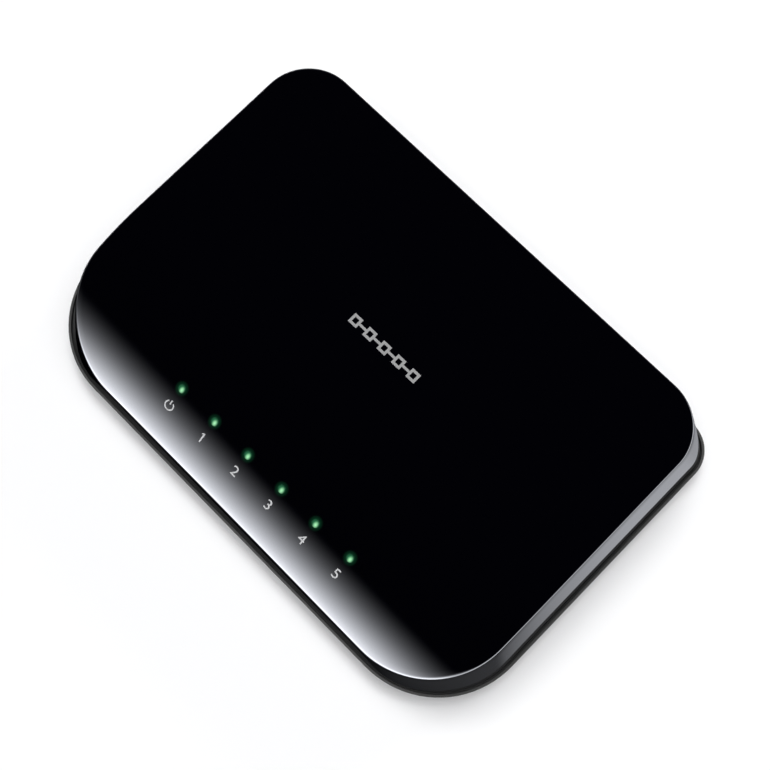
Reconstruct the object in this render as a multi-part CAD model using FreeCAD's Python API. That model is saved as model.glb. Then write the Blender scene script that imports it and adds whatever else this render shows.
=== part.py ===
import FreeCAD, Part
import math
import os

# Five-port desktop network switch, in millimetres.
# Origin: centre of the footprint on the table. +X runs along the row of lamps,
# -Y is the low curved front, +Y is the rear with the sockets, +Z is up.

V = FreeCAD.Vector

# ---- case, overall ----
width = 165.0
depth = 111.0
front_corner = 28.0
rear_corner = 10.0

# ---- top cover ----
cover_wall = 2.2
cover_step = 1.3
side_lean = 6.0
front_lean = 2.2
rear_lean = 1.4
top_front_corner = 26.0
top_rear_corner = 15.0
curve_run = 41.3
front_edge_rise = 2.5

# ---- base tray ----
foot_height = 1.2
floor_wall = 2.0
band_height = 4.8
band_wall = 2.4
shadow_gap = 0.8
groove_wall = 0.7
groove_depth = 1.5
lip_wall = 1.4
lip_rise = 2.2
lip_clearance = 0.3
tray_edge_round = 1.0
vent_slot_width = 2.0
vent_slot_length = 20.0
vent_slot_pitch = 4.5
vent_slots_per_group = 7
vent_group_x = 28.0
vent_group_y = -14.0

# ---- wall hanging holes ----
keyhole_x = 47.0
keyhole_y = 6.0
keyhole_head_radius = 4.0
keyhole_neck_width = 4.2
keyhole_neck_length = 8.0

# ---- feet and label ----
foot_radius = 5.0
foot_recess = 0.8
foot_front_side_inset = 26.5
foot_front_inset = 13.5
foot_rear_side_inset = 12.5
foot_rear_inset = 10.0
label_width = 48.0
label_depth = 26.0
label_thickness = 0.2
label_recess = 0.3
label_y = 32.0

# ---- case screws ----
case_screw_side_inset = 15.5
case_screw_front_inset = 28.5
case_screw_rear_inset = 25.5
case_screw_length = 9.0
screw_radius = 1.45
screw_hole_clearance = 0.05
screw_pass_clearance = 0.25
screw_head_radius = 2.75
screw_head_height = 2.0
screw_head_clearance = 0.35
screw_recess_depth = 4.0
screw_drive_width = 0.7
screw_drive_depth = 0.9
screw_drive_margin = 0.825
screw_pilot_past_tip = 1.0
screw_web = 1.6
boss_radius = 3.6

# ---- circuit board ----
board_side_gap = 21.5
board_thickness = 1.6
board_gap = 3.4
board_ahead_of_lamps = 5.0
board_corner = 2.0
board_screw_side_inset = 5.0
board_screw_front_inset = 5.5
board_screw_rear_inset = 31.9
board_screw_length = 5.2
standoff_radius = 3.0

# ---- rear panel ----
panel_side_inset = 20.5
panel_thickness = 2.2
panel_flange = 1.8
panel_flange_thickness = 1.4
panel_recess = 0.3
panel_headroom = 0.4
panel_clearance = 0.15
window_over_jack = 1.0
board_to_panel = 0.3

# ---- network sockets ----
port_count = 5
port_gap = 2.1
port_row_x = 9.6
jack_depth = 16.0
jack_side_wall = 2.0
jack_roof = 1.1
jack_proud = 0.1
jack_wall_depth = 3.0
plug_width = 11.9
plug_height = 7.1
plug_floor = 3.9
latch_width = 6.2
latch_floor = 1.2
shield_thickness = 0.3
shield_gap = 0.2

# ---- socket contacts ----
contact_count = 8
contact_pitch = 1.02
contact_width = 0.5
contact_thickness = 0.3
contact_length = 9.0
contact_droop = 17.0
contact_knuckle_radius = 0.35
contact_running_gap = 0.07
contact_pivot_inset = 2.7
contact_pivot_over_plug = 0.7
contact_pocket_height = 1.3
contact_side_gap = 0.35

# ---- power inlet ----
inlet_gap = 10.15
inlet_side_wall = 1.6
inlet_top_wall = 1.7
inlet_bottom_wall = 1.1
inlet_depth = 14.0
barrel_radius = 2.9
barrel_depth = 10.0
inlet_pin_radius = 1.0
inlet_pin_length = 8.8
inlet_pin_seat = 2.5
inlet_pin_seat_radius = 1.4
inlet_knuckle_radius = 0.4
inlet_spring_width = 2.4
inlet_spring_thickness = 0.4
inlet_spring_length = 7.4
inlet_spring_rise = 5.0
inlet_spring_slot = 2.4
inlet_spring_under_hole = 0.55
inlet_spring_root = 0.9
inlet_slot_stop = 1.0
inlet_spring_side_gap = 0.3

# ---- lamps and light guide ----
lamp_count = 6
lamp_pitch = 12.95
lamp_from_edge = 15.3
lamp_width = 2.0
lamp_depth = 1.25
lamp_height = 0.8
guide_radius = 1.1
guide_hole_clearance = 0.1
guide_over_lamp = 0.4
guide_bar_depth = 2.6
guide_bar_height = 2.0
guide_bar_drop = 3.2
guide_leg_radius = 1.3
guide_end_margin = 1.0

# ---- parts on the board ----
transformer_width = 12.6
transformer_depth = 9.6
transformer_height = 5.6
transformer_gap = 6.9
chip_side = 20.0
chip_height = 1.3
chip_x = 12.0
chip_y = -2.0
sink_side = 26.0
sink_base = 1.6
sink_height = 8.0
sink_fins = 7
sink_fin_thickness = 1.2
crystal_x = 33.0
crystal_y = -4.0
crystal_length = 11.0
crystal_width = 4.6
crystal_height = 3.5
crystal_flat_end = 0.46
memory_x = -8.0
memory_y = -8.0
memory_length = 4.9
memory_width = 3.9
memory_height = 1.5
memory_leads = 4
lead_width = 0.4
lead_reach = 1.0
lead_thickness = 0.2
capacitor_radius = 4.0
capacitor_height = 11.5
capacitor_x = -50.0
capacitor_y = (8.0, -3.0)
coil_side = 7.5
coil_height = 4.2
coil_base_height = 1.68
coil_round_inset = 0.3
coil_x = -36.0
coil_y = 4.0
regulator_x = -36.0
regulator_y = -8.0
regulator_width = 6.5
regulator_depth = 5.6
regulator_height = 2.3

# ---- how far a cut runs past the face that it opens ----
cut_past = 1.0

# ---- widths worked out from the sizes above ----
half_width = width / 2
front_y = -depth / 2
rear_y = depth / 2
jack_width = plug_width + 2 * jack_side_wall
jack_height = plug_floor + plug_height + contact_pocket_height + jack_roof
port_pitch = jack_width + 2 * shield_thickness + port_gap
inlet_width = 2 * (barrel_radius + inlet_side_wall)
barrel_height = inlet_bottom_wall + inlet_spring_slot + barrel_radius
inlet_height = barrel_height + barrel_radius + inlet_top_wall
board_half_width = half_width - board_side_gap
panel_half_width = half_width - panel_side_inset

# ---- levels, from the table up ----
under_z = foot_height
floor_z = under_z + floor_wall
band_z = under_z + band_height
rim_z = band_z + shadow_gap
lip_z = rim_z + lip_rise
post_z = under_z + screw_recess_depth + screw_web
board_z = floor_z + board_gap
board_top_z = board_z + board_thickness
plug_z = board_top_z + plug_floor
plug_top_z = plug_z + plug_height
contact_z = plug_top_z + contact_pivot_over_plug
jack_top_z = board_top_z + jack_height
window_z = jack_top_z + window_over_jack
height = window_z + panel_flange + panel_headroom + cover_wall
front_edge_height = rim_z + front_edge_rise
inlet_axis_z = board_top_z + barrel_height
spring_pivot_z = inlet_axis_z - barrel_radius - inlet_spring_under_hole

# ---- the curved front, an arc that leaves the flat top level ----
edge_y = front_y + front_lean
flat_front = edge_y + curve_run
curve_drop = height - front_edge_height
curve_radius = (curve_run ** 2 + curve_drop ** 2) / (2 * curve_drop)
curve_z = height - curve_radius

# ---- lines from front to rear ----
lamp_y = edge_y + lamp_from_edge
board_front = lamp_y - board_ahead_of_lamps
panel_in_y = rear_y - rear_lean - cover_wall - panel_recess
panel_out_y = panel_in_y + panel_thickness
flange_in_y = panel_in_y - panel_flange_thickness
board_rear = flange_in_y - board_to_panel
jack_face_y = panel_out_y + jack_proud
jack_back_y = jack_face_y - jack_depth
contact_y = jack_face_y - contact_pivot_inset
inlet_back_y = jack_face_y - inlet_depth
barrel_bottom_y = jack_face_y - barrel_depth
spring_pivot_y = barrel_bottom_y + inlet_spring_root
transformer_y = jack_back_y - shield_thickness - transformer_gap - transformer_depth / 2

# ---- places of what repeats ----
port_x = [port_row_x + port_pitch * (i - (port_count - 1) / 2) for i in range(port_count)]
inlet_x = port_x[0] - jack_width / 2 - shield_thickness - inlet_gap - inlet_width / 2
lamp_x = [lamp_pitch * (i - (lamp_count - 1) / 2) for i in range(lamp_count)]
case_screws = [(side * (half_width - case_screw_side_inset), y) for side in (-1, 1)
               for y in (front_y + case_screw_front_inset, rear_y - case_screw_rear_inset)]
board_screws = [(side * (board_half_width - board_screw_side_inset), y) for side in (-1, 1)
                for y in (board_front + board_screw_front_inset,
                          board_rear - board_screw_rear_inset)]
foot_front_x = half_width - foot_front_side_inset
foot_front_y = front_y + foot_front_inset
foot_rear_x = half_width - foot_rear_side_inset
foot_rear_y = rear_y - foot_rear_inset
feet = {
    "foot_front_left": (-foot_front_x, foot_front_y),
    "foot_front_right": (foot_front_x, foot_front_y),
    "foot_rear_left": (-foot_rear_x, foot_rear_y),
    "foot_rear_right": (foot_rear_x, foot_rear_y),
}


def block(x0, x1, y0, y1, z0, z1):
    """Box between two corners."""
    return Part.makeBox(x1 - x0, y1 - y0, z1 - z0, V(x0, y0, z0))


def centred_block(x, y, z, length, breadth, tall):
    """Box standing on z, centred on x and y."""
    return block(x - length / 2, x + length / 2, y - breadth / 2, y + breadth / 2, z, z + tall)


def post(x, y, z0, z1, radius):
    """Upright cylinder."""
    return Part.makeCylinder(radius, z1 - z0, V(x, y, z0))


def fuse_all(shapes):
    """One solid out of shapes that overlap."""
    return shapes[0].multiFuse(shapes[1:]).removeSplitter() if len(shapes) > 1 else shapes[0]


def outline(half, front, rear, front_round, rear_round, z):
    """Edges of a rounded plan, front corners and rear corners apart, with the long
    sides divided where the top surface starts to curve."""
    def corner(x, y, radius, start):
        turn = [math.radians(start + step) for step in (0, 45, 90)]
        points = [V(x + radius * math.cos(a), y + radius * math.sin(a), z) for a in turn]
        return Part.Arc(*points).toShape()

    def side(x0, y0, x1, y1):
        return Part.makeLine(V(x0, y0, z), V(x1, y1, z))

    right_front = front + front_round
    right_rear = rear - rear_round
    return [
        side(front_round - half, front, half - front_round, front),
        corner(half - front_round, right_front, front_round, -90),
        side(half, right_front, half, flat_front),
        side(half, flat_front, half, right_rear),
        corner(half - rear_round, right_rear, rear_round, 0),
        side(half - rear_round, rear, rear_round - half, rear),
        corner(rear_round - half, right_rear, rear_round, 90),
        side(-half, right_rear, -half, flat_front),
        side(-half, flat_front, -half, right_front),
        corner(front_round - half, right_front, front_round, 180),
    ]


def plan_block(inset, z0, z1):
    """Straight-walled block with the plan of the base, drawn in by inset."""
    edges = outline(half_width - inset, front_y + inset, rear_y - inset,
                    front_corner - inset, rear_corner - inset, z0)
    return Part.Face(Part.Wire(edges)).extrude(V(0, 0, z1 - z0))


def under_the_curve(drop):
    """Everything below the flat top and the curve of the front, lowered by drop."""
    reach = curve_radius - drop
    far = width
    start = V(-far, flat_front, height - drop)
    slant = V(-far, flat_front - reach * math.sin(math.radians(45)),
              curve_z + reach * math.cos(math.radians(45)))
    foot = V(-far, flat_front - reach, curve_z)
    arc = Part.Arc(start, slant, foot).toShape()
    low_front = V(-far, flat_front - reach, curve_z - 1)
    low_rear = V(-far, depth, curve_z - 1)
    high_rear = V(-far, depth, height - drop)
    sides = Part.makePolygon([foot, low_front, low_rear, high_rear, start])
    return Part.Face(Part.Wire([arc] + sides.Edges)).extrude(V(2 * far, 0, 0))


def casing(inset):
    """Closed body of the cover, drawn in by inset all over. Its walls are ruled
    from the plan at the rim to the smaller plan on the curved top."""
    low = outline(half_width - cover_step - inset, front_y + cover_step + inset,
                  rear_y - cover_step - inset, front_corner - cover_step - inset,
                  rear_corner - cover_step - inset, rim_z)
    top = outline(half_width - side_lean - inset, edge_y + inset,
                  rear_y - rear_lean - inset, top_front_corner - inset,
                  top_rear_corner - inset, rim_z)
    column = Part.Face(Part.Wire(top)).extrude(V(0, 0, height)).common(under_the_curve(inset))
    faces = [Part.Face(Part.Wire(low))]
    for low_edge, top_edge in zip(low, top):
        middle = top_edge.valueAt((top_edge.FirstParameter + top_edge.LastParameter) / 2)
        probe = Part.Vertex(middle + V(0, 0, 0.5))
        wall = min((face for face in column.Faces), key=lambda face: face.distToShape(probe)[0])
        upper = max(wall.Edges, key=lambda edge: edge.CenterOfMass.z)
        faces.append(Part.makeRuledSurface(low_edge, upper))
    for face in column.Faces:
        u0, u1, v0, v1 = face.ParameterRange
        if face.normalAt((u0 + u1) / 2, (v0 + v1) / 2).z > 0.1:
            faces.append(face)
    shell = Part.makeShell(faces)
    shell.sewShape()
    body = Part.makeSolid(Part.Shell(shell.Faces))
    if body.Volume < 0:
        body.reverse()
    return body


def lamp_surface_z(y):
    """Height of the cover's curved front above the table at y."""
    return curve_z + math.sqrt(curve_radius ** 2 - (flat_front - y) ** 2)


def panel_space(gap):
    """Room taken by the rear panel, grown by gap."""
    half_plate = panel_half_width + gap
    half_flange = panel_half_width + panel_flange + gap
    plate = block(-half_plate, half_plate, panel_in_y - gap, panel_out_y + gap,
                  band_z, window_z + gap)
    flange = block(-half_flange, half_flange, flange_in_y - gap, panel_in_y + gap,
                   floor_z, window_z + panel_flange + gap)
    return plate.fuse(flange)


def make_top_cover():
    """Gloss shell with screw bosses, lamp holes and the window for the rear panel."""
    outer = casing(0)
    cover = outer.cut(casing(cover_wall))
    bosses = [post(x, y, post_z, height, boss_radius).common(outer) for x, y in case_screws]
    cover = fuse_all([cover] + bosses)
    pilot = screw_radius + screw_hole_clearance
    pilot_top = under_z + screw_recess_depth + case_screw_length + screw_pilot_past_tip
    cuts = [post(x, y, post_z, pilot_top, pilot) for x, y in case_screws]
    cuts += [post(x, lamp_y, rim_z, height, guide_radius + guide_hole_clearance) for x in lamp_x]
    half = panel_half_width + panel_clearance
    cuts.append(block(-half, half, panel_in_y - cover_wall, rear_y, rim_z - cut_past,
                      window_z + panel_clearance))
    return cover.cut(Part.makeCompound(cuts))


def keyhole(x):
    """Hole for a screw head, with a neck towards the rear."""
    neck = block(x - keyhole_neck_width / 2, x + keyhole_neck_width / 2, keyhole_y,
                 keyhole_y + keyhole_neck_length, under_z, floor_z)
    end = post(x, keyhole_y + keyhole_neck_length, under_z, floor_z, keyhole_neck_width / 2)
    return fuse_all([post(x, keyhole_y, under_z, floor_z, keyhole_head_radius), neck, end])


def vent_slots():
    """Two groups of round-ended slots through the floor."""
    slots = []
    reach = vent_slot_length / 2 - vent_slot_width / 2
    for side in (-1, 1):
        for i in range(vent_slots_per_group):
            x = side * vent_group_x + vent_slot_pitch * (i - (vent_slots_per_group - 1) / 2)
            slot = block(x - vent_slot_width / 2, x + vent_slot_width / 2,
                         vent_group_y - reach, vent_group_y + reach, under_z, floor_z)
            ends = [post(x, vent_group_y + end * reach, under_z, floor_z, vent_slot_width / 2)
                    for end in (-1, 1)]
            slots.append(fuse_all([slot] + ends))
    return slots


def make_base_tray():
    """Matte floor with its band, inner lip, posts and everything cut in the floor. A
    groove inside the band's top edge leaves a dark line under the cover."""
    band = plan_block(0, under_z, band_z)
    rim = [edge for edge in band.Edges if edge.BoundBox.ZMax < under_z + 0.01]
    band = band.makeFillet(tray_edge_round, rim)
    band = band.cut(plan_block(band_wall, floor_z, band_z + cut_past))
    band = band.cut(plan_block(groove_wall, band_z - groove_depth, band_z + cut_past))
    lip_inset = cover_step + cover_wall + lip_clearance
    lip = casing(cover_wall + lip_clearance).common(
        block(-width, width, -depth, depth, rim_z, lip_z))
    neck = plan_block(lip_inset, floor_z, rim_z)
    ring = neck.fuse(lip).cut(plan_block(lip_inset + lip_wall, floor_z - cut_past,
                                         lip_z + cut_past))
    tray = fuse_all([band, ring])
    tray = tray.cut(panel_space(panel_clearance))
    posts = [post(x, y, under_z, post_z, boss_radius) for x, y in case_screws]
    posts += [post(x, y, under_z, board_z, standoff_radius) for x, y in board_screws]
    tray = fuse_all([tray] + posts)
    cuts = [keyhole(side * keyhole_x) for side in (-1, 1)] + vent_slots()
    for x, y in case_screws:
        cuts.append(post(x, y, under_z, post_z, screw_radius + screw_pass_clearance))
        cuts.append(post(x, y, under_z - cut_past, under_z + screw_recess_depth,
                         screw_head_radius + screw_head_clearance))
    for x, y in board_screws:
        cuts.append(post(x, y, board_top_z - board_screw_length, board_z,
                         screw_radius + screw_hole_clearance))
    for x, y in feet.values():
        cuts.append(post(x, y, under_z - cut_past, under_z + foot_recess, foot_radius))
    cuts.append(centred_block(0, label_y, under_z - cut_past, label_width, label_depth,
                              cut_past + label_recess))
    return tray.cut(Part.makeCompound(cuts))


def make_rear_panel():
    """Plate with a flange behind it, open for each socket and for the power inlet."""
    panel = panel_space(0)
    cuts = []
    half = jack_width / 2 + shield_thickness + shield_gap
    for x in port_x:
        cuts.append(block(x - half, x + half, board_rear, rear_y, board_top_z - shield_gap,
                          jack_top_z + shield_thickness + shield_gap))
    half = inlet_width / 2 + shield_gap
    cuts.append(block(inlet_x - half, inlet_x + half, board_rear, rear_y,
                      board_top_z - shield_gap, board_top_z + inlet_height + shield_gap))
    return panel.cut(Part.makeCompound(cuts))


def make_screws(places, head_z, direction, length):
    """Pan-head screws, one solid each. direction is +1 where the tip points up."""
    screws = []
    for x, y in places:
        up = V(0, 0, direction)
        start = V(x, y, head_z)
        head = Part.makeCylinder(screw_head_radius, screw_head_height,
                                 start - up * screw_head_height, up)
        shank = Part.makeCylinder(screw_radius, length, start, up)
        screw = head.fuse(shank)
        outer = head_z - direction * screw_head_height
        inner = outer + direction * screw_drive_depth
        reach = 2 * (screw_head_radius - screw_drive_margin)
        for long_x, long_y in ((reach, screw_drive_width), (screw_drive_width, reach)):
            screw = screw.cut(centred_block(x, y, min(outer, inner), long_x, long_y,
                                            screw_drive_depth))
        screws.append(screw)
    return Part.makeCompound(screws)


def make_circuit_board():
    """Bare board with a hole for each of its screws."""
    board = block(-board_half_width, board_half_width, board_front, board_rear,
                  board_z, board_top_z)
    uprights = [edge for edge in board.Edges if edge.BoundBox.ZLength > board_thickness / 2]
    board = board.makeFillet(board_corner, uprights)
    holes = [post(x, y, board_z, board_top_z, screw_radius + screw_pass_clearance)
             for x, y in board_screws]
    return board.cut(Part.makeCompound(holes))


def make_jack(x):
    """Socket housing: plug space, latch slot and the pocket that holds the contacts."""
    body = block(x - jack_width / 2, x + jack_width / 2, jack_back_y, jack_face_y,
                 board_top_z, jack_top_z)
    inner_y = jack_back_y + jack_wall_depth
    half_pocket = contact_pitch * (contact_count - 1) / 2 + contact_width / 2 + contact_side_gap
    pocket_mouth = contact_y - contact_knuckle_radius / 2
    cuts = [
        block(x - plug_width / 2, x + plug_width / 2, inner_y, jack_face_y, plug_z, plug_top_z),
        block(x - latch_width / 2, x + latch_width / 2, inner_y, jack_face_y,
              board_top_z + latch_floor, plug_z),
        block(x - half_pocket, x + half_pocket, inner_y, pocket_mouth, plug_top_z,
              plug_top_z + contact_pocket_height),
        Part.makeCylinder(contact_knuckle_radius + contact_running_gap, 2 * half_pocket,
                          V(x - half_pocket, contact_y, contact_z), V(1, 0, 0)),
    ]
    return body.cut(fuse_all(cuts))


def make_shield(x):
    """Sheet-metal cover over the top, sides and back of one socket."""
    half = jack_width / 2
    inner = block(x - half, x + half, jack_back_y, jack_face_y, board_top_z, jack_top_z)
    outer = block(x - half - shield_thickness, x + half + shield_thickness,
                  jack_back_y - shield_thickness, jack_face_y, board_top_z,
                  jack_top_z + shield_thickness)
    return outer.cut(inner)


def make_contacts(x):
    """Row of sprung wires, each with a knuckle that it turns on. They droop into
    the plug space and point away from its mouth."""
    wires = []
    for i in range(contact_count):
        wire_x = x + contact_pitch * (i - (contact_count - 1) / 2) - contact_width / 2
        knuckle = Part.makeCylinder(contact_knuckle_radius, contact_width,
                                    V(wire_x, contact_y, contact_z), V(1, 0, 0))
        arm = block(wire_x, wire_x + contact_width, contact_y - contact_length, contact_y,
                    contact_z - contact_thickness / 2, contact_z + contact_thickness / 2)
        arm.rotate(V(x, contact_y, contact_z), V(1, 0, 0), contact_droop)
        wires.append(knuckle.fuse(arm))
    return Part.makeCompound(wires)


def make_inlet_body():
    """Power inlet: round hole from the rear, with a slot below it for the spring."""
    body = block(inlet_x - inlet_width / 2, inlet_x + inlet_width / 2, inlet_back_y,
                 jack_face_y, board_top_z, board_top_z + inlet_height)
    half_slot = inlet_spring_width / 2 + inlet_spring_side_gap
    barrel = Part.makeCylinder(barrel_radius, barrel_depth,
                               V(inlet_x, barrel_bottom_y, inlet_axis_z), V(0, 1, 0))
    slot = block(inlet_x - half_slot, inlet_x + half_slot, spring_pivot_y,
                 jack_face_y - inlet_slot_stop,
                 inlet_axis_z - barrel_radius - inlet_spring_slot, inlet_axis_z)
    groove = Part.makeCylinder(inlet_knuckle_radius + contact_running_gap, 2 * half_slot,
                               V(inlet_x - half_slot, spring_pivot_y, spring_pivot_z), V(1, 0, 0))
    seat = Part.makeCylinder(inlet_pin_seat_radius, inlet_pin_seat,
                             V(inlet_x, barrel_bottom_y - inlet_pin_seat, inlet_axis_z),
                             V(0, 1, 0))
    return body.cut(fuse_all([barrel, slot, groove, seat]))


def make_inlet_pin():
    """Centre pin of the power inlet: a stout seat in the body and a rounded tip."""
    start = V(inlet_x, barrel_bottom_y - inlet_pin_seat, inlet_axis_z)
    seat = Part.makeCylinder(inlet_pin_seat_radius, inlet_pin_seat, start, V(0, 1, 0))
    tip_y = barrel_bottom_y + inlet_pin_length - inlet_pin_radius
    shaft = Part.makeCylinder(inlet_pin_radius, tip_y - start.y, start, V(0, 1, 0))
    tip = Part.makeSphere(inlet_pin_radius, V(inlet_x, tip_y, inlet_axis_z))
    return fuse_all([seat, shaft, tip])


def make_inlet_spring():
    """Leaf that presses on the plug. It rises into the hole on its way out."""
    knuckle = Part.makeCylinder(inlet_knuckle_radius, inlet_spring_width,
                                V(inlet_x - inlet_spring_width / 2, spring_pivot_y,
                                  spring_pivot_z), V(1, 0, 0))
    leaf = block(inlet_x - inlet_spring_width / 2, inlet_x + inlet_spring_width / 2,
                 spring_pivot_y, spring_pivot_y + inlet_spring_length,
                 spring_pivot_z - inlet_spring_thickness / 2,
                 spring_pivot_z + inlet_spring_thickness / 2)
    leaf.rotate(V(inlet_x, spring_pivot_y, spring_pivot_z), V(1, 0, 0), inlet_spring_rise)
    return knuckle.fuse(leaf)


def make_light_guide():
    """One clear moulding on two legs: a bar under the cover and a pipe up to each
    lamp hole, ending level with the curved surface."""
    under = lamp_surface_z(lamp_y) - cover_wall
    bar_top = under - guide_bar_drop
    reach = lamp_x[-1] + guide_radius + 2 * guide_leg_radius + guide_end_margin
    bar = block(-reach, reach, lamp_y - guide_bar_depth / 2, lamp_y + guide_bar_depth / 2,
                bar_top - guide_bar_height, bar_top)
    low = board_top_z + lamp_height + guide_over_lamp
    pipes = [post(x, lamp_y, low, height, guide_radius).common(under_the_curve(0))
             for x in lamp_x]
    legs = [post(side * (reach - guide_leg_radius), lamp_y, board_top_z, bar_top,
                 guide_leg_radius) for side in (-1, 1)]
    return fuse_all([bar] + pipes + legs)


def make_heat_sink():
    """Plate on the switch chip with upright fins."""
    base_z = board_top_z + chip_height
    pieces = [centred_block(chip_x, chip_y, base_z, sink_side, sink_side, sink_base)]
    step = (sink_side - sink_fin_thickness) / (sink_fins - 1)
    for i in range(sink_fins):
        x = chip_x + step * (i - (sink_fins - 1) / 2)
        pieces.append(centred_block(x, chip_y, base_z, sink_fin_thickness, sink_side,
                                    sink_height))
    return fuse_all(pieces)


def make_memory():
    """Small eight-legged chip that keeps the settings."""
    pieces = [centred_block(memory_x, memory_y, board_top_z, memory_length, memory_width,
                            memory_height)]
    step = memory_length / memory_leads
    for i in range(memory_leads):
        x = memory_x + step * (i - (memory_leads - 1) / 2)
        pieces.append(centred_block(x, memory_y, board_top_z, lead_width,
                                    memory_width + 2 * lead_reach, lead_thickness))
    return fuse_all(pieces)


def make_crystal():
    """Flat metal can with round ends."""
    can = centred_block(crystal_x, crystal_y, board_top_z, crystal_length, crystal_width,
                        crystal_height)
    uprights = [edge for edge in can.Edges if edge.BoundBox.ZLength > crystal_height / 2]
    return can.makeFillet((crystal_width - crystal_flat_end) / 2, uprights)


def make_coil():
    """Shielded power coil: square block with a round top."""
    base = centred_block(coil_x, coil_y, board_top_z, coil_side, coil_side, coil_base_height)
    return base.fuse(post(coil_x, coil_y, board_top_z, board_top_z + coil_height,
                          coil_side / 2 - coil_round_inset))


def build():
    """Every piece of the switch, by node name."""
    nodes = {
        "top_cover": make_top_cover(),
        "base_tray": make_base_tray(),
        "rear_panel": make_rear_panel(),
        "light_guide": make_light_guide(),
        "circuit_board": make_circuit_board(),
        "case_screws": make_screws(case_screws, under_z + screw_recess_depth, 1,
                                   case_screw_length),
        "board_screws": make_screws(board_screws, board_top_z, -1, board_screw_length),
        "rating_label": centred_block(0, label_y, under_z + label_recess - label_thickness,
                                      label_width, label_depth, label_thickness),
        "inlet_body": make_inlet_body(),
        "inlet_pin": make_inlet_pin(),
        "inlet_spring": make_inlet_spring(),
        "switch_chip": centred_block(chip_x, chip_y, board_top_z, chip_side, chip_side,
                                     chip_height),
        "heat_sink": make_heat_sink(),
        "clock_crystal": make_crystal(),
        "memory_chip": make_memory(),
        "power_coil": make_coil(),
        "power_regulator": centred_block(regulator_x, regulator_y, board_top_z,
                                         regulator_width, regulator_depth, regulator_height),
    }
    for name, (x, y) in feet.items():
        nodes[name] = post(x, y, 0, under_z + foot_recess, foot_radius)
    for i, y in enumerate(capacitor_y):
        nodes[f"capacitor_{i + 1}"] = post(capacitor_x, y, board_top_z,
                                           board_top_z + capacitor_height, capacitor_radius)
    for i, x in enumerate(port_x):
        nodes[f"jack_{i + 1}"] = make_jack(x)
        nodes[f"shield_{i + 1}"] = make_shield(x)
        nodes[f"contacts_{i + 1}"] = make_contacts(x)
        nodes[f"transformer_{i + 1}"] = centred_block(x, transformer_y, board_top_z,
                                                      transformer_width, transformer_depth,
                                                      transformer_height)
    for i, x in enumerate(lamp_x):
        name = "lamp_power" if i == 0 else f"lamp_{i}"
        nodes[name] = centred_block(x, lamp_y, board_top_z, lamp_width, lamp_depth, lamp_height)
    return nodes


os.makedirs("parts", exist_ok=True)
for node, shape in build().items():
    shape.exportStep("parts/" + node + ".step")
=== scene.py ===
import math

import bpy
from mathutils import Euler, Matrix, Vector


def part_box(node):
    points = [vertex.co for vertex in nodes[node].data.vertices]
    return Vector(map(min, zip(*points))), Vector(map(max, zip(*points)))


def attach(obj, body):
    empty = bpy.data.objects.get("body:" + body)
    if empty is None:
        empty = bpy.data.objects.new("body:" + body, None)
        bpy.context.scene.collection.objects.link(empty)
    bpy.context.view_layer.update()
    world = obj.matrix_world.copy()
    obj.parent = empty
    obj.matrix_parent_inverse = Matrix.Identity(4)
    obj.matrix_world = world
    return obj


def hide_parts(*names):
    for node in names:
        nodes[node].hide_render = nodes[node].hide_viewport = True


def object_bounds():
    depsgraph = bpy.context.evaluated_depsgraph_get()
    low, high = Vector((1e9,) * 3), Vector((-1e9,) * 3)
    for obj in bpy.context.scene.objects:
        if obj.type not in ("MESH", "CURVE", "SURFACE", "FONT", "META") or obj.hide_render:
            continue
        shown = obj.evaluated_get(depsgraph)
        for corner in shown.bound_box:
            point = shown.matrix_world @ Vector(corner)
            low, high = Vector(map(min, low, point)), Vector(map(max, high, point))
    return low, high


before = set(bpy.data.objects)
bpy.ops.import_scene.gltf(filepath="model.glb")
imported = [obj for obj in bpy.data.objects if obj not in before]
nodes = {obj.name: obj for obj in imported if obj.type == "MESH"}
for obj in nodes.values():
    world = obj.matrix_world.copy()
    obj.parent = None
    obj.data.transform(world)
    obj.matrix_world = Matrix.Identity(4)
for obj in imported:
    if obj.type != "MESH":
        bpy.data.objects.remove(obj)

# Desktop network switch, in metres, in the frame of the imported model: +X along the
# row of lamps, -Y the low curved front, +Y the rear with the sockets, +Z up.

cad_low, cad_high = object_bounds()
MM = 0.001

# ---- sizes of the cover, from the frame and the design ----
cover_low, cover_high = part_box("top_cover")
lamp_low, lamp_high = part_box("lamp_1")
panel_low, panel_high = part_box("rear_panel")
RIM_Z = cover_low[2]
TOP_Z = cover_high[2]
HALF_WIDTH = cover_high[0]
FRONT_Y = cover_low[1]
REAR_Y = cover_high[1]
COVER_WALL = 2.2 * MM
COVER_STEP = 1.3 * MM
SIDE_LEAN = 6.0 * MM - COVER_STEP
FRONT_LEAN = 2.2 * MM - COVER_STEP
REAR_LEAN = 1.4 * MM - COVER_STEP
RIM_FRONT_CORNER = 28.0 * MM - COVER_STEP
RIM_REAR_CORNER = 10.0 * MM - COVER_STEP
TOP_FRONT_CORNER = 26.0 * MM
TOP_REAR_CORNER = 15.0 * MM
CURVE_RUN = 41.3 * MM
FRONT_EDGE_RISE = 2.5 * MM
EDGE_ROUND = 0.8 * MM
WINDOW_GAP = 0.15 * MM
PANEL_FLANGE = 1.8 * MM
LAMP_PITCH = 12.95 * MM
LAMP_COUNT = 6
LAMP_HOLE = 1.2 * MM

EDGE_Y = FRONT_Y + FRONT_LEAN
FLAT_FRONT = EDGE_Y + CURVE_RUN
CURVE_DROP = TOP_Z - RIM_Z - FRONT_EDGE_RISE
CURVE_RADIUS = (CURVE_RUN ** 2 + CURVE_DROP ** 2) / (2 * CURVE_DROP)
LAMP_Y = (lamp_low[1] + lamp_high[1]) / 2
LAMP_X = [LAMP_PITCH * (i - (LAMP_COUNT - 1) / 2) for i in range(LAMP_COUNT)]


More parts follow.
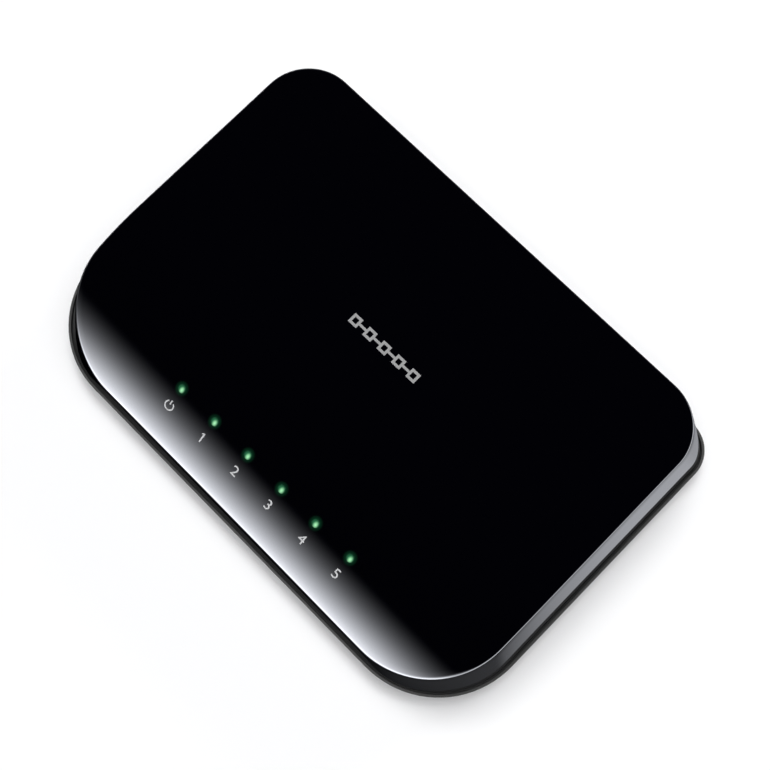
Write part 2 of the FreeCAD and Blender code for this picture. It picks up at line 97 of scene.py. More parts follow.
def surface_z(y):
    """Height of the cover's top at y: flat, then down the arc of the front."""
    back = max(FLAT_FRONT - y, 0.0)
    return TOP_Z - CURVE_RADIUS + math.sqrt(CURVE_RADIUS ** 2 - back ** 2)


def surface_slope(y):
    """Angle by which the top leans forward at y."""
    return math.asin(max(FLAT_FRONT - y, 0.0) / CURVE_RADIUS)


LAMP_TOP_Z = surface_z(LAMP_Y)


# ---- shader maths ----
class Value:
    """A shader socket that adds Math nodes when it is used in an expression."""

    def __init__(self, shading, socket):
        self.shading = shading
        self.socket = socket

    def math(self, operation, *others):
        return self.shading.math(operation, self, *others)

    def __add__(self, other):
        return self.math("ADD", other)

    __radd__ = __add__

    def __mul__(self, other):
        return self.math("MULTIPLY", other)

    __rmul__ = __mul__

    def __sub__(self, other):
        return self.math("SUBTRACT", other)

    def __rsub__(self, other):
        return self.shading.math("SUBTRACT", other, self)

    def __truediv__(self, other):
        return self.math("DIVIDE", other)

    def __pow__(self, other):
        return self.math("POWER", other)


class Shading:
    """A node tree being made, for a material or for the surroundings."""

    def __init__(self, tree):
        self.tree = tree

    def node(self, kind, settings=None, inputs=None):
        """Adds a node: settings are set first, then sockets get values or links."""
        made = self.tree.nodes.new(kind)
        for key, value in (settings or {}).items():
            setattr(made, key, value)
        for key, value in (inputs or {}).items():
            self.feed(made.inputs[key], value)
        return made

    def feed(self, socket, value):
        if isinstance(value, Value):
            self.tree.links.new(value.socket, socket)
        else:
            socket.default_value = value

    def math(self, operation, *values):
        made = self.node("ShaderNodeMath", {"operation": operation}, dict(enumerate(values)))
        return Value(self, made.outputs[0])

    def split(self, vector):
        made = self.node("ShaderNodeSeparateXYZ", None, {0: vector})
        return [Value(self, made.outputs[axis]) for axis in range(3)]

    def ramp(self, factor, low, high):
        """Smooth step from 0 at low to 1 at high."""
        made = self.node("ShaderNodeMapRange", {"interpolation_type": "SMOOTHSTEP"},
                         {0: factor, 1: low, 2: high})
        return Value(self, made.outputs[0])

    def blend(self, factor, first, second):
        """Colour between two colours, either of which may be worked out by nodes."""
        first, second = [part if isinstance(part, Value) else (*part, 1.0)
                         for part in (first, second)]
        made = self.node("ShaderNodeMix", {"data_type": "RGBA"},
                         {0: factor, 6: first, 7: second})
        return Value(self, made.outputs[2])


PLASTIC_IOR = 1.5


class Finish(Shading):
    """A material being made: one Principled shader and the nodes that feed it."""

    def __init__(self, name, colour, roughness, metallic=0.0, coat=0.0):
        self.material = bpy.data.materials.new(name)
        self.material.use_nodes = True
        super().__init__(self.material.node_tree)
        self.shader = self.tree.nodes["Principled BSDF"]
        self.shader.inputs["Base Color"].default_value = (*colour, 1.0)
        self.shader.inputs["Roughness"].default_value = roughness
        self.shader.inputs["Metallic"].default_value = metallic
        self.shader.inputs["Coat Weight"].default_value = coat
        self.shader.inputs["IOR"].default_value = PLASTIC_IOR

    def place(self):
        """Object coordinates as three values."""
        return self.split(self.object_vector())

    def object_vector(self):
        return Value(self, self.node("ShaderNodeTexCoord").outputs["Object"])

    def stretched(self, scale):
        """Object coordinates scaled apart along each axis, for brushed grain."""
        mapping = self.node("ShaderNodeMapping", None,
                            {"Vector": self.object_vector(), "Scale": scale})
        return Value(self, mapping.outputs[0])

    def noise(self, scale, detail=2.0, vector=None):
        made = self.node("ShaderNodeTexNoise", None,
                         {"Vector": vector or self.object_vector(), "Scale": scale,
                          "Detail": detail})
        return Value(self, made.outputs[0])

    def grains(self, scale):
        """Distance to the nearest of many scattered points: fine moulded grain."""
        made = self.node("ShaderNodeTexVoronoi", None,
                         {"Vector": self.object_vector(), "Scale": scale})
        return Value(self, made.outputs[0])

    def colour(self, value):
        self.feed(self.shader.inputs["Base Color"], value)

    def roughness(self, value):
        self.feed(self.shader.inputs["Roughness"], value)

    def bump(self, height, strength, distance):
        made = self.node("ShaderNodeBump", None,
                         {"Height": height, "Strength": strength, "Distance": distance})
        self.feed(self.shader.inputs["Normal"], Value(self, made.outputs[0]))

    def glow(self, colour):
        self.feed(self.shader.inputs["Emission Color"], colour)
        self.shader.inputs["Emission Strength"].default_value = 1.0


# ---- finishes ----
DEEP_GREEN = (0.003, 0.03, 0.012)
MID_GREEN = (0.01, 0.12, 0.045)
BRIGHT_GREEN = (0.42, 0.95, 0.5)
UNLIT = (0.0, 0.0, 0.0)
SILVER_FILM = (0.6, 0.6, 0.62)
SLEEVE_BLUE = (0.015, 0.02, 0.06)
LABEL_MARGIN = 1.6 * MM
LABEL_ROW = 2.0 * MM


def lamp_offsets(finish):
    """Distances from the nearest lamp along the row and towards the front."""
    x, y, _ = finish.place()
    across = finish.math("WRAP", x, LAMP_PITCH, 0.0) - LAMP_PITCH / 2
    return across, LAMP_Y - y


def distance_from(finish, across, ahead):
    return finish.math("SQRT", across * across + ahead * ahead)


def piano_black():
    """Polished black cover, with the faint waves and rubs of a handled gloss moulding.
    A faint green glow is painted into the cover's emission round each lamp, standing in for lamp
    light spilling through the thin plastic."""
    finish = Finish("piano_black", colour=(0.0005, 0.0005, 0.0013), roughness=0.05)
    rubs = finish.ramp(finish.noise(scale=55.0, detail=4.0), low=0.45, high=0.75)
    finish.roughness(0.035 + rubs * 0.03)
    finish.bump(finish.noise(scale=90.0, detail=1.0), strength=0.1, distance=0.04 * MM)
    x, _, z = finish.place()
    along_row = 1.0 - finish.ramp(finish.math("ABSOLUTE", x), LAMP_X[-1] + 4 * MM,
                                  LAMP_X[-1] + 5 * MM)
    on_top = finish.ramp(z, LAMP_TOP_Z - 3 * MM, LAMP_TOP_Z - 2 * MM)
    across, ahead = lamp_offsets(finish)
    # painted glow: green emission on the black cover round each lamp hole, fading out by 2.3 mm,
    # standing in for lamp light
    painted_lamp_glow = 1.0 - finish.ramp(distance_from(finish, across, ahead), 0.8 * MM, 2.3 * MM)
    finish.glow(finish.blend(painted_lamp_glow * along_row * on_top, UNLIT, DEEP_GREEN))
    return finish.material


def moulded_matte(name, shade, grain=2600.0, rough=0.5):
    """Spark-eroded matte plastic: fine pits over a slow drift of tone."""
    finish = Finish(name, (shade, shade, shade * 1.05), rough)
    pits = finish.grains(grain)
    drift = finish.noise(scale=40.0, detail=3.0)
    finish.colour(finish.blend(drift, (shade * 0.8,) * 3, (shade * 1.25,) * 3))
    finish.roughness(rough - 0.08 + pits * 0.25)
    finish.bump(pits, strength=0.45, distance=0.06 * MM)
    return finish.material


def plain_metal(name, colour, rough, grain):
    """Rolled or plated metal with grain along one axis."""
    finish = Finish(name, colour, rough, metallic=1.0)
    lines = finish.noise(scale=1.0, detail=3.0, vector=finish.stretched(grain))
    finish.roughness(rough - 0.06 + lines * 0.16)
    stain = finish.ramp(finish.noise(scale=260.0), low=0.55, high=0.8)
    dull = tuple(part * 0.8 for part in colour)
    finish.colour(finish.blend(stain, colour, dull))
    finish.bump(lines, strength=0.12, distance=0.02 * MM)
    return finish.material


def board_green():
    """Solder mask over copper tracks that run front to rear and across."""
    finish = Finish("board_green", colour=(0.02, 0.13, 0.05), roughness=0.35, coat=0.3)
    x, y, _ = finish.place()
    tracks = finish.math("PINGPONG", x, 0.9 * MM)
    along = finish.math("GREATER_THAN", finish.noise(scale=70.0, detail=1.0), 0.52)
    across = finish.math("PINGPONG", y, 1.1 * MM)
    chosen = tracks * along + across * (1.0 - along)
    copper = finish.ramp(chosen, low=0.3 * MM, high=0.5 * MM)
    finish.colour(finish.blend(copper, (0.012, 0.1, 0.035), (0.03, 0.2, 0.08)))
    finish.bump(copper, strength=0.3, distance=0.05 * MM)
    return finish.material


def lit_guide():
    """Clear moulding that glows green where each pipe ends in the cover. The lamp
    below shows as a small bright spot towards the front of the pipe."""
    finish = Finish("lit_guide", colour=(0.004, 0.02, 0.01), roughness=0.22)
    _, _, z = finish.place()
    across, ahead = lamp_offsets(finish)
    spot = distance_from(finish, across - 0.25 * MM, (ahead - 0.3 * MM) * 0.75)
    core = 1.0 - finish.ramp(spot, 0.0, 0.9 * MM)
    rim = finish.ramp(distance_from(finish, across, ahead), 0.5 * MM, 1.2 * MM)
    end = finish.ramp(z, LAMP_TOP_Z - 1.5 * MM, LAMP_TOP_Z - 1.0 * MM)
    pipe = finish.blend(rim, MID_GREEN, DEEP_GREEN)
    speck = finish.noise(scale=2600.0)
    lit = finish.blend(core * (0.8 + speck * 0.3), pipe, BRIGHT_GREEN)
    finish.glow(finish.blend(end, UNLIT, lit))
    return finish.material


def printed_ink(name, shade):
    """Pad-printed ink, slightly uneven at its thin spots."""
    finish = Finish(name, colour=(shade, shade, shade), roughness=0.4)
    thin = finish.noise(scale=1500.0)
    finish.colour(finish.blend(thin, (shade * 0.75,) * 3, (shade, shade, shade * 1.02)))
    finish.bump(thin, strength=0.2, distance=0.01 * MM)
    return finish.material


def blank_label():
    """Silver film label with a printed frame and empty fields."""
    finish = Finish("blank_label", colour=SILVER_FILM, roughness=0.38, metallic=0.35)
    x, y, _ = finish.place()
    low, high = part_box("rating_label")
    middle = (low[1] + high[1]) / 2
    side = finish.math("ABSOLUTE", x) / (high[0] - LABEL_MARGIN)
    end = finish.math("ABSOLUTE", y - middle) / ((high[1] - low[1]) / 2 - LABEL_MARGIN)
    reach = finish.math("MAXIMUM", side, end)
    frame_line = finish.ramp(reach, 0.965, 0.975) * (1.0 - finish.ramp(reach, 0.99, 1.0))
    rows = finish.math("PINGPONG", y - middle, LABEL_ROW)
    inside = 1.0 - finish.ramp(reach, 0.86, 0.87)
    row_line = (1.0 - finish.ramp(rows, 0.1 * MM, 0.2 * MM)) * inside
    ink = finish.math("MAXIMUM", frame_line, row_line)
    finish.colour(finish.blend(ink, SILVER_FILM, (0.08, 0.08, 0.09)))
    finish.roughness(0.34 + finish.noise(scale=900.0) * 0.1)
    return finish.material


def rubber_black():
    """Soft foot: dusty matte with a fine cast grain."""
    finish = Finish("rubber_black", colour=(0.025, 0.025, 0.025), roughness=0.85)
    dust = finish.ramp(finish.noise(scale=420.0, detail=4.0), low=0.5, high=0.75)
    finish.colour(finish.blend(dust, (0.016, 0.016, 0.016), (0.06, 0.058, 0.055)))
    finish.bump(finish.noise(scale=3000.0), strength=0.4, distance=0.05 * MM)
    return finish.material


def cast_epoxy(name, colour):
    """Moulded body of a chip, coil or transformer."""
    finish = Finish(name, colour, roughness=0.6)
    sand = finish.noise(scale=3500.0, detail=3.0)
    finish.roughness(0.5 + sand * 0.2)
    finish.bump(sand, strength=0.3, distance=0.04 * MM)
    return finish.material


def sleeve_blue():
    """Shrunk sleeve of a capacitor, with one pale stripe."""
    finish = Finish("sleeve_blue", colour=SLEEVE_BLUE, roughness=0.3)
    x, _, _ = finish.place()
    low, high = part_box("capacitor_1")
    stripe = finish.ramp(x, high[0] - 1.6 * MM, high[0] - 1.5 * MM)
    finish.colour(finish.blend(stripe, SLEEVE_BLUE, (0.6, 0.62, 0.65)))
    finish.roughness(0.28 + finish.noise(scale=700.0) * 0.1)
    return finish.material


def lamp_lens():
    """Small green lens of a lamp on the board."""
    finish = Finish("lamp_lens", colour=(0.25, 0.75, 0.35), roughness=0.2)
    cloud = finish.noise(scale=900.0, detail=1.0)
    finish.glow(finish.blend(cloud, (0.1, 0.6, 0.2), (0.3, 1.0, 0.5)))
    return finish.material


def wear(piece, material):
    """Gives a piece one finish."""
    piece.data.materials.clear()
    piece.data.materials.append(material)


def dress(finish, *names):
    """Gives carried-over nodes one finish, through their own material slots."""
    for name in names:
        for slot in nodes[name].material_slots:
            slot.material = finish


# ---- making pieces ----
SMOOTH_ANGLE = math.radians(30.0)
FACING_DOWN = -0.99
WELD_GAP = 0.001 * MM
ROUND_SIDES = 64
HOLE_SIDES = 32


def deselect():
    if bpy.context.object and bpy.context.object.mode != "OBJECT":
        bpy.ops.object.mode_set(mode="OBJECT")
    bpy.ops.object.select_all(action="DESELECT")


def only(piece):
    """Makes one piece the only one selected."""
    deselect()
    piece.select_set(True)
    bpy.context.view_layer.objects.active = piece


def named(name):
    piece = bpy.context.object
    piece.name = name
    piece.data.name = name
    return piece


def settle(piece):
    """Puts a piece's place, turn and size into its mesh."""
    only(piece)
    bpy.ops.object.transform_apply(location=True, rotation=True, scale=True)
    return piece


def apply_modifier(piece, kind, **settings):
    only(piece)
    modifier = piece.modifiers.new(kind.lower(), kind)
    for key, value in settings.items():
        setattr(modifier, key, value)
    bpy.ops.object.modifier_apply(modifier=modifier.name)


def smooth(piece):
    only(piece)
    bpy.ops.object.shade_smooth_by_angle(angle=SMOOTH_ANGLE)


def select_faces(piece, wanted):
    """Selects the faces that are wanted, and nothing else, ready for edit mode."""
    only(piece)
    bpy.ops.object.mode_set(mode="EDIT")
    bpy.ops.mesh.select_mode(type="FACE")
    bpy.ops.mesh.select_all(action="DESELECT")
    bpy.ops.object.mode_set(mode="OBJECT")
    for face in piece.data.polygons:
        face.select = wanted(face)


def cut(piece, cutter):
    """Takes the cutter's shape out of the piece and removes the cutter."""
    apply_modifier(piece, "BOOLEAN", operation="DIFFERENCE", object=cutter, solver="EXACT")
    bpy.data.objects.remove(cutter)


def box_piece(name, low, high):
    """Plain box between two corners, for a cutter or a stroke of ink."""
    deselect()
    middle = [(a + b) / 2 for a, b in zip(low, high)]
    bpy.ops.mesh.primitive_cube_add(size=1.0, location=middle)
    piece = named(name)
    piece.scale = [b - a for a, b in zip(low, high)]
    return settle(piece)


def join(pieces):
    """Makes the pieces one, under the first one's name."""
    only(pieces[0])
    for piece in pieces[1:]:
        piece.select_set(True)
    bpy.ops.object.join()


# ---- the cover ----
ARC_SHARE = 0.5
TURN_STEPS = 192
WALL_RINGS = 6
ROUND_RINGS = 5
TOP_RINGS = 44
SPINE_HALF = 30 * MM
SPINE_Y = 6 * MM
SPINE_REACH = 0.97


def arc_point(x, y, radius, degrees):
    """Point of the circle round x, y at an angle."""
    angle = math.radians(degrees)
    return Vector((x + radius * math.cos(angle), y + radius * math.sin(angle)))


def plan_point(turn, half, front, rear, front_corner, rear_corner):
    """Point of a rounded plan. turn runs from 0 to 1 round it, the same share of it
    for each side and corner whatever their lengths."""
    corners = [
        (half - front_corner, front + front_corner, front_corner, -90.0),
        (half - rear_corner, rear - rear_corner, rear_corner, 0.0),
        (rear_corner - half, rear - rear_corner, rear_corner, 90.0),
        (front_corner - half, front + front_corner, front_corner, 180.0),
    ]
    step, part = divmod(turn % 1.0 * 4.0, 1.0)
    x, y, radius, start = corners[int(step)]
    if part < ARC_SHARE:
        return arc_point(x, y, radius, start + 90.0 * part / ARC_SHARE)
    leave = arc_point(x, y, radius, start + 90.0)
    reach = arc_point(*corners[(int(step) + 1) % 4])
    return leave.lerp(reach, (part - ARC_SHARE) / (1.0 - ARC_SHARE))


def rim_point(turn):
    point = plan_point(turn, HALF_WIDTH, FRONT_Y, REAR_Y, RIM_FRONT_CORNER, RIM_REAR_CORNER)
    return Vector((point.x, point.y, RIM_Z))


def top_point(turn, inset):
    point = plan_point(turn, HALF_WIDTH - SIDE_LEAN - inset, EDGE_Y + inset,
                       REAR_Y - REAR_LEAN - inset, TOP_FRONT_CORNER - inset,
                       TOP_REAR_CORNER - inset)
    return Vector((point.x, point.y, surface_z(point.y)))


def cover_point(turn, ring):
    """Point of the cover's outer skin: up the wall, round the edge, then over the top
    to a short line near the middle."""
    edge = top_point(turn, 0.0)
    rim = rim_point(turn)
    down = (rim - edge).normalized()
    under_edge = edge + down * EDGE_ROUND
    if ring <= WALL_RINGS:
        return rim.lerp(under_edge, ring / WALL_RINGS)
    inner = top_point(turn, EDGE_ROUND)
    if ring <= WALL_RINGS + ROUND_RINGS:
        share = (ring - WALL_RINGS) / ROUND_RINGS
        first = under_edge.lerp(edge, share)
        return first.lerp(edge.lerp(inner, share), share)
    share = (ring - WALL_RINGS - ROUND_RINGS) / TOP_RINGS
    centre = Vector((max(-SPINE_HALF, min(SPINE_HALF, inner.x)), SPINE_Y, 0.0))
    flat = Vector((inner.x, inner.y, 0.0)).lerp(centre, share * SPINE_REACH)
    return Vector((flat.x, flat.y, surface_z(flat.y)))


def close_cover_top(cover):
    """Welds the seam of the wrapped grid and fills the slot left in its middle."""
    only(cover)
    bpy.ops.object.mode_set(mode="EDIT")
    bpy.ops.mesh.select_all(action="SELECT")
    bpy.ops.mesh.remove_doubles(threshold=WELD_GAP)
    bpy.ops.mesh.select_mode(type="EDGE")
    bpy.ops.mesh.select_all(action="DESELECT")
    bpy.ops.object.mode_set(mode="OBJECT")
    faces_at = {}
    for face in cover.data.polygons:
        for key in face.edge_keys:
            faces_at[key] = faces_at.get(key, 0) + 1
    for edge in cover.data.edges:
        high = cover.data.vertices[edge.vertices[0]].co.z > TOP_Z - MM
        edge.select = high and faces_at[edge.key] == 1
    bpy.ops.object.mode_set(mode="EDIT")
    bpy.ops.mesh.edge_face_add()
    bpy.ops.mesh.select_all(action="SELECT")
    bpy.ops.mesh.normals_make_consistent(inside=False)
    bpy.ops.object.mode_set(mode="OBJECT")
    if cover.data.polygons[-1].normal.z < 0:
        cover.data.flip_normals()


def open_cover(cover):
    """Cuts the window for the rear panel and the six lamp holes."""
    side = panel_high[0] - PANEL_FLANGE + WINDOW_GAP
    top = panel_high[2] - PANEL_FLANGE + WINDOW_GAP
    cut(cover, box_piece("window_cutter", (-side, REAR_Y - 3 * COVER_WALL, RIM_Z - MM),
                         (side, REAR_Y + MM, top)))
    for x in LAMP_X:
        deselect()
        bpy.ops.mesh.primitive_cylinder_add(vertices=HOLE_SIDES, radius=LAMP_HOLE,
                                            depth=6 * COVER_WALL,
                                            location=(x, LAMP_Y, LAMP_TOP_Z))
        cut(cover, settle(named("lamp_cutter")))


def make_cover():
    """Gloss shell: a grid wrapped round the case, given its wall, then opened."""
    rings = WALL_RINGS + ROUND_RINGS + TOP_RINGS
    deselect()
    bpy.ops.mesh.primitive_grid_add(x_subdivisions=TURN_STEPS, y_subdivisions=rings, size=1.0,
                                    location=(0.5, 0.5, 0.0))
    cover = settle(named("gloss_cover"))
    for vertex in cover.data.vertices:
        vertex.co = cover_point(vertex.co.x, round(vertex.co.y * rings))
    close_cover_top(cover)
    apply_modifier(cover, "SOLIDIFY", thickness=COVER_WALL, offset=-1.0, use_even_offset=True)
    open_cover(cover)
    smooth(cover)
    wear(cover, piano_black())
    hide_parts("top_cover")
    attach(cover, "switch")


# ---- printed marks ----
INK_LIFT = 0.035 * MM
INK_THICKNESS = 0.03 * MM
SYMBOL_Y = LAMP_Y - 5.6 * MM
SYMBOL_HEIGHT = 3.3 * MM
DIGIT_SHARE = 0.72
TOP_MARK_Y = 7.5 * MM
RING_SHARE = 0.42
RING_STROKE = 0.38 * MM
RING_EDGE = 0.02 * MM
RING_WELD = 0.05 * MM
RING_STEPS = 28
RING_GAP = math.radians(34)
STROKE_FOOT = 0.25
STROKE_HEAD = 1.3


def print_on_cover(piece, x, y, material):
    """Lays a flat mark on the cover at x, y, leaning with the surface."""
    piece.rotation_euler = Euler((surface_slope(y), 0.0, 0.0))
    piece.location = (x, y, surface_z(y) + INK_LIFT)
    settle(piece)
    wear(piece, material)
    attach(piece, "switch")


def add_flag(number):
    """Short slanted stroke at the top left of the figure one."""
    top = max(vertex.co.y for vertex in number.data.vertices)
    left = min(vertex.co.x for vertex in number.data.vertices)
    stroke = 0.4 * MM
    reach = 0.5 * MM
    drop = 0.4 * MM
    flag = box_piece("flag", (left - reach, top - stroke, -INK_THICKNESS / 2),
                     (left + stroke / 2, top, INK_THICKNESS / 2))
    for vertex in flag.data.vertices:
        if vertex.co.x < left:
            vertex.co.y -= drop
    join([number, flag])


def make_digit(text, x, material):
    """Port number in a plain sans-serif."""
    deselect()
    bpy.ops.object.text_add()
    digit = bpy.context.object
    digit.data.body = text
    digit.data.size = SYMBOL_HEIGHT / DIGIT_SHARE
    digit.data.extrude = INK_THICKNESS / 2
    digit.data.align_x = "CENTER"
    digit.data.align_y = "CENTER"
    bpy.ops.object.convert(target="MESH")
    number = named("number_" + text)
    if text == "1":
        add_flag(number)
    print_on_cover(number, x, SYMBOL_Y, material)


def make_power_symbol(x, material):
    """Open ring with an upright stroke in its gap."""
    radius = SYMBOL_HEIGHT * RING_SHARE
    deselect()
    bpy.ops.mesh.primitive_plane_add(size=1.0)
    ring = named("power_symbol")
    ring.scale = (RING_STROKE, RING_EDGE, 1.0)
    ring.location = (0.0, radius, 0.0)
    ring.rotation_euler = Euler((0.0, 0.0, math.pi / 2))
    settle(ring)
    ring.data.transform(Matrix.Rotation(-RING_GAP, 4, "Z"))
    only(ring)
    bpy.ops.object.mode_set(mode="EDIT")
    bpy.ops.mesh.select_all(action="SELECT")
    bpy.ops.mesh.delete(type="ONLY_FACE")
    bpy.ops.mesh.select_all(action="SELECT")
    bpy.ops.mesh.remove_doubles(threshold=RING_WELD)
    bpy.ops.mesh.select_all(action="SELECT")
    bpy.ops.mesh.spin(steps=RING_STEPS, angle=2 * (math.pi - RING_GAP), center=(0, 0, 0),
                      axis=(0, 0, 1))
    bpy.ops.object.mode_set(mode="OBJECT")
    apply_modifier(ring, "SOLIDIFY", thickness=INK_THICKNESS, offset=0.0)
    half = RING_STROKE / 2
    bar = box_piece("power_stroke", (-half, radius * STROKE_FOOT, -INK_THICKNESS / 2),
                    (half, radius * STROKE_HEAD, INK_THICKNESS / 2))
    join([ring, bar])
    print_on_cover(ring, x, SYMBOL_Y, material)


def make_top_mark(material):
    """Plain generic mark: five small squares strung on one line."""
    count = 5
    pitch = 5.4 * MM
    side = 3.0 * MM
    hollow = 1.5 * MM
    line = 0.7 * MM
    half = INK_THICKNESS / 2
    parts = []
    for i in range(count):
        x = pitch * (i - (count - 1) / 2)
        square = box_piece("square", (x - side / 2, -side / 2, -half), (x + side / 2, side / 2, half))
        hole = box_piece("square_hole", (x - hollow / 2, -hollow / 2, -MM),
                         (x + hollow / 2, hollow / 2, MM))
        cut(square, hole)
        parts.append(square)
        if i:
            parts.append(box_piece("line", (x - pitch + side / 2, -line / 2, -half),
                                   (x - side / 2, line / 2, half)))
    join(parts)
    print_on_cover(named("top_mark"), 0.0, TOP_MARK_Y, material)


# ---- feet ----
FOOT_EDGE = 0.35 * MM
FOOT_RIM = 1.1 * MM
FOOT_DISH_SLOPE = 0.3 * MM
FOOT_DISH = 0.2 * MM


def make_foot(node, material):
    """Rubber foot: a disc with a rounded edge and a shallow dished face."""
    low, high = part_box(node)
    middle = [(a + b) / 2 for a, b in zip(low, high)]
    deselect()
    bpy.ops.mesh.primitive_cylinder_add(vertices=ROUND_SIDES, radius=(high[0] - low[0]) / 2,
                                        depth=high[2] - low[2], location=middle)
    foot = settle(named(node + "_pad"))
    apply_modifier(foot, "BEVEL", width=FOOT_EDGE, segments=3, limit_method="ANGLE")
    select_faces(foot, lambda face: face.normal.z < FACING_DOWN)
    bpy.ops.object.mode_set(mode="EDIT")
    bpy.ops.mesh.inset(thickness=FOOT_RIM)
    bpy.ops.mesh.inset(thickness=FOOT_DISH_SLOPE, depth=-FOOT_DISH)
    bpy.ops.object.mode_set(mode="OBJECT")
    smooth(foot)
    wear(foot, material)
    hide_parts(node)
    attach(foot, "switch")


# ---- build ----
def starting(prefix):
    """Names of the nodes that start alike."""
    return [name for name in nodes if name.startswith(prefix)]


def make_marks():
    """Power symbol and port numbers in white, and the mark on the top in silver."""
    ink = printed_ink("white_ink", shade=0.6)
    make_power_symbol(LAMP_X[0], ink)
    for number, x in enumerate(LAMP_X[1:], start=1):
        make_digit(str(number), x, ink)
    make_top_mark(printed_ink("silver_ink", shade=0.32))


def dress_case():
    """Finishes of the parts of the case that are carried over."""
    dress(moulded_matte("tray_matte", shade=0.055), "base_tray")
    dress(moulded_matte("panel_matte", shade=0.018, grain=3000.0), "rear_panel")
    dress(lit_guide(), "light_guide")
    dress(plain_metal("screw_zinc", (0.5, 0.5, 0.52), 0.35, (600.0, 600.0, 4000.0)),
          "case_screws", "board_screws")
    dress(blank_label(), "rating_label")


def dress_sockets():
    """Finishes of the network sockets and the power inlet."""
    dress(moulded_matte("inlet_black", shade=0.012, grain=2200.0, rough=0.45), "inlet_body")
    dress(plain_metal("inlet_nickel", (0.72, 0.7, 0.66), 0.2, (3000.0, 300.0, 3000.0)),
          "inlet_pin")
    dress(plain_metal("contact_gold", (0.86, 0.62, 0.22), 0.25, (4000.0, 400.0, 4000.0)),
          "inlet_spring", *starting("contacts"))
    dress(moulded_matte("jack_black", shade=0.014, grain=2400.0, rough=0.42),
          *starting("jack"))
    dress(plain_metal("shield_steel", (0.62, 0.62, 0.6), 0.3, (300.0, 5000.0, 5000.0)),
          *starting("shield"))


def dress_board():
    """Finishes of the circuit board and what stands on it."""
    dress(board_green(), "circuit_board")
    dress(cast_epoxy("epoxy_black", (0.014, 0.014, 0.015)), "switch_chip", "memory_chip",
          "power_regulator", *starting("transformer"))
    dress(plain_metal("sink_aluminium", (0.6, 0.6, 0.61), 0.4, (5000.0, 300.0, 5000.0)),
          "heat_sink")
    dress(plain_metal("crystal_tin", (0.7, 0.7, 0.69), 0.28, (2000.0, 2000.0, 300.0)),
          "clock_crystal")
    dress(sleeve_blue(), "capacitor_1", "capacitor_2")
    dress(cast_epoxy("coil_grey", (0.05, 0.05, 0.055)), "power_coil")
    dress(lamp_lens(), *starting("lamp_"))


make_cover()
make_marks()
rubber = rubber_black()
for foot_node in starting("foot_"):
    make_foot(foot_node, rubber)
dress_case()
dress_sockets()
dress_board()


# ---- floor, light and camera ----
FLOOR_SIZE = 6.0


def make_floor():
    """Plain white table top. Gloss faces mirror the studio instead of it."""
    deselect()
    bpy.ops.mesh.primitive_plane_add(size=FLOOR_SIZE, location=(0.0, 0.0, cad_low[2]))
    floor = named("floor")
    finish = Finish("floor_white", colour=(0.86, 0.86, 0.87), roughness=0.9)
    finish.shader.inputs["Specular IOR Level"].default_value = 0.0
    wear(floor, finish.material)
    floor.visible_glossy = False


def make_light(name, kind, place, power, spread):
    """Soft light at a place that looks at the case: spread is the angle of a far
    light and the size of a near one. It leaves no patch on gloss."""
    lamp = bpy.data.lights.new(name, kind)
    lamp.energy = power
    if kind == "SUN":
        lamp.angle = math.radians(spread)
    else:
        lamp.size = spread
    holder = bpy.data.objects.new(name, lamp)
    bpy.context.scene.collection.objects.link(holder)
    holder.location = place
    holder.rotation_euler = (-Vector(place)).to_track_quat("-Z", "Y").to_euler()
    holder.visible_glossy = False


PANEL_POWER = 17.0
PANEL_TOP = 0.56
PANEL_BOTTOM = -0.09
PANEL_FADE = 2.1
CARD_POWER = 0.75
CARD_SPILL = 0.11
REAR_CARD_POWER = 0.7
STRIP_POWER = 8.5
STRIP_SPILL = 0.8
COOL_WHITE = (0.955, 0.98, 1.055, 1.0)


def front_panel(shading, azimuth_y, z):
    """Bright panel ahead of the case, brightest at its foot and fading upwards."""
    ahead = shading.ramp(0.0 - azimuth_y, 0.8, 0.97)
    height = (z - PANEL_BOTTOM) / (PANEL_TOP - PANEL_BOTTOM)
    fade = shading.math("MAXIMUM", 1.0 - height, 0.0) ** PANEL_FADE
    foot = shading.ramp(z, -0.3, -0.16)
    return ahead * fade * foot * PANEL_POWER


def right_card(shading, x, y, z):
    """Pale card on the table at the right, brightest beside the rear half."""
    under = shading.ramp(x, -0.1, 0.3) * (1.0 - shading.ramp(z, -0.35, -0.15))
    lit_part = shading.ramp(y, -0.05, 0.2) * (1.0 - shading.ramp(y, 0.25, 0.6))
    return under * (lit_part * CARD_POWER + CARD_SPILL)


def rear_card(shading, y, z):
    """Pale card on the table behind the case."""
    under = 1.0 - shading.ramp(z, -0.3, -0.1)
    return shading.ramp(y, 0.45, 0.85) * under * REAR_CARD_POWER


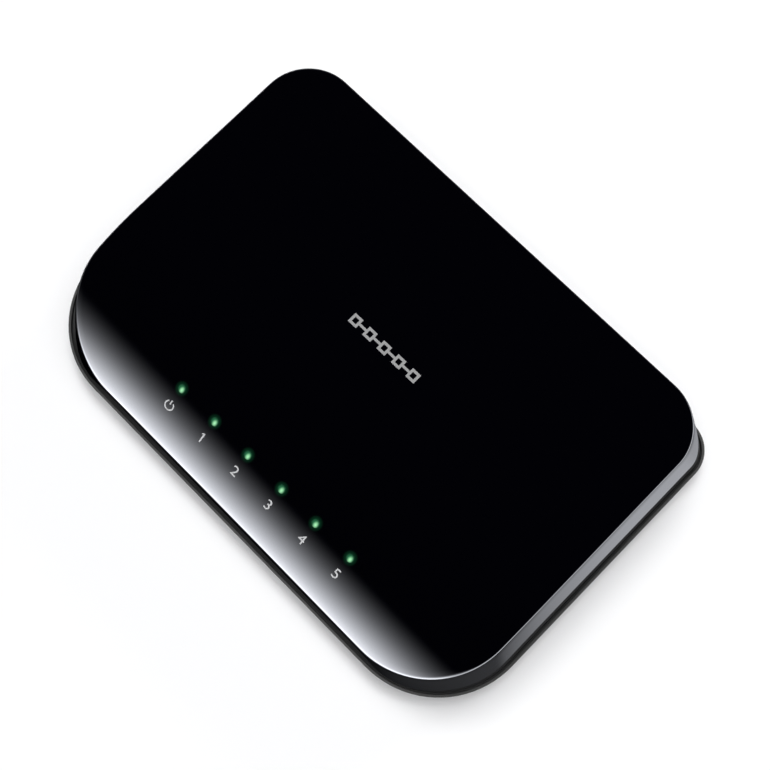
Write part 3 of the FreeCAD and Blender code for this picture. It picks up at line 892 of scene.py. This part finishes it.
def side_strip(shading, azimuth_x, z):
    """Narrow strip at table height, bright along the right and dim elsewhere."""
    low = 1.0 - shading.ramp(shading.math("ABSOLUTE", z + 0.05), 0.1, 0.4)
    return low * (shading.ramp(azimuth_x, 0.1, 0.7) * STRIP_POWER + STRIP_SPILL)


def make_surroundings():
    """What polished faces mirror: the panel, the two cards, the strip and darkness
    overhead."""
    world = bpy.data.worlds.new("studio")
    bpy.context.scene.world = world
    world.use_nodes = True
    shading = Shading(world.node_tree)
    sky = shading.tree.nodes["Background"]
    direction = shading.node("ShaderNodeTexCoord")
    x, y, z = shading.split(Value(shading, direction.outputs["Generated"]))
    level = shading.math("SQRT", x * x + y * y)
    total = (front_panel(shading, y / level, z) + right_card(shading, x, y, z)
             + rear_card(shading, y, z) + side_strip(shading, x / level, z))
    sky.inputs["Color"].default_value = COOL_WHITE
    shading.feed(sky.inputs["Strength"], total)
    world.cycles_visibility.diffuse = False


CAMERA_PLACE = (0.060, -0.040, 0.345)
CAMERA_AIM = (0.0049, 0.0023, 0.013)
CAMERA_RIGHT = (0.7087, 0.7050, -0.0278)
CAMERA_LENS = 57.4
CAMERA_NEAR = 0.01


def make_camera():
    """Camera above the front right, with the case turned across the frame."""
    camera = bpy.data.objects.new("camera", bpy.data.cameras.new("camera"))
    bpy.context.scene.collection.objects.link(camera)
    camera.data.lens = CAMERA_LENS
    camera.data.clip_start = CAMERA_NEAR
    camera.location = CAMERA_PLACE
    look = (Vector(CAMERA_AIM) - camera.location).normalized()
    up = Vector(CAMERA_RIGHT).cross(look).normalized()
    right = look.cross(up)
    camera.rotation_euler = Matrix((right, up, -look)).transposed().to_euler()
    bpy.context.scene.camera = camera


make_floor()
make_surroundings()
make_light("overhead", "SUN", place=(-0.1, 0.1, 1.2), power=2.78, spread=85.0)
make_light("key", "SUN", place=(-0.4, 0.45, 1.0), power=1.0, spread=22.0)
make_light("rear_fill", "AREA", place=(0.1, 1.0, 0.2), power=5.0, spread=0.4)
make_camera()
bpy.context.scene.view_settings.view_transform = "Standard"
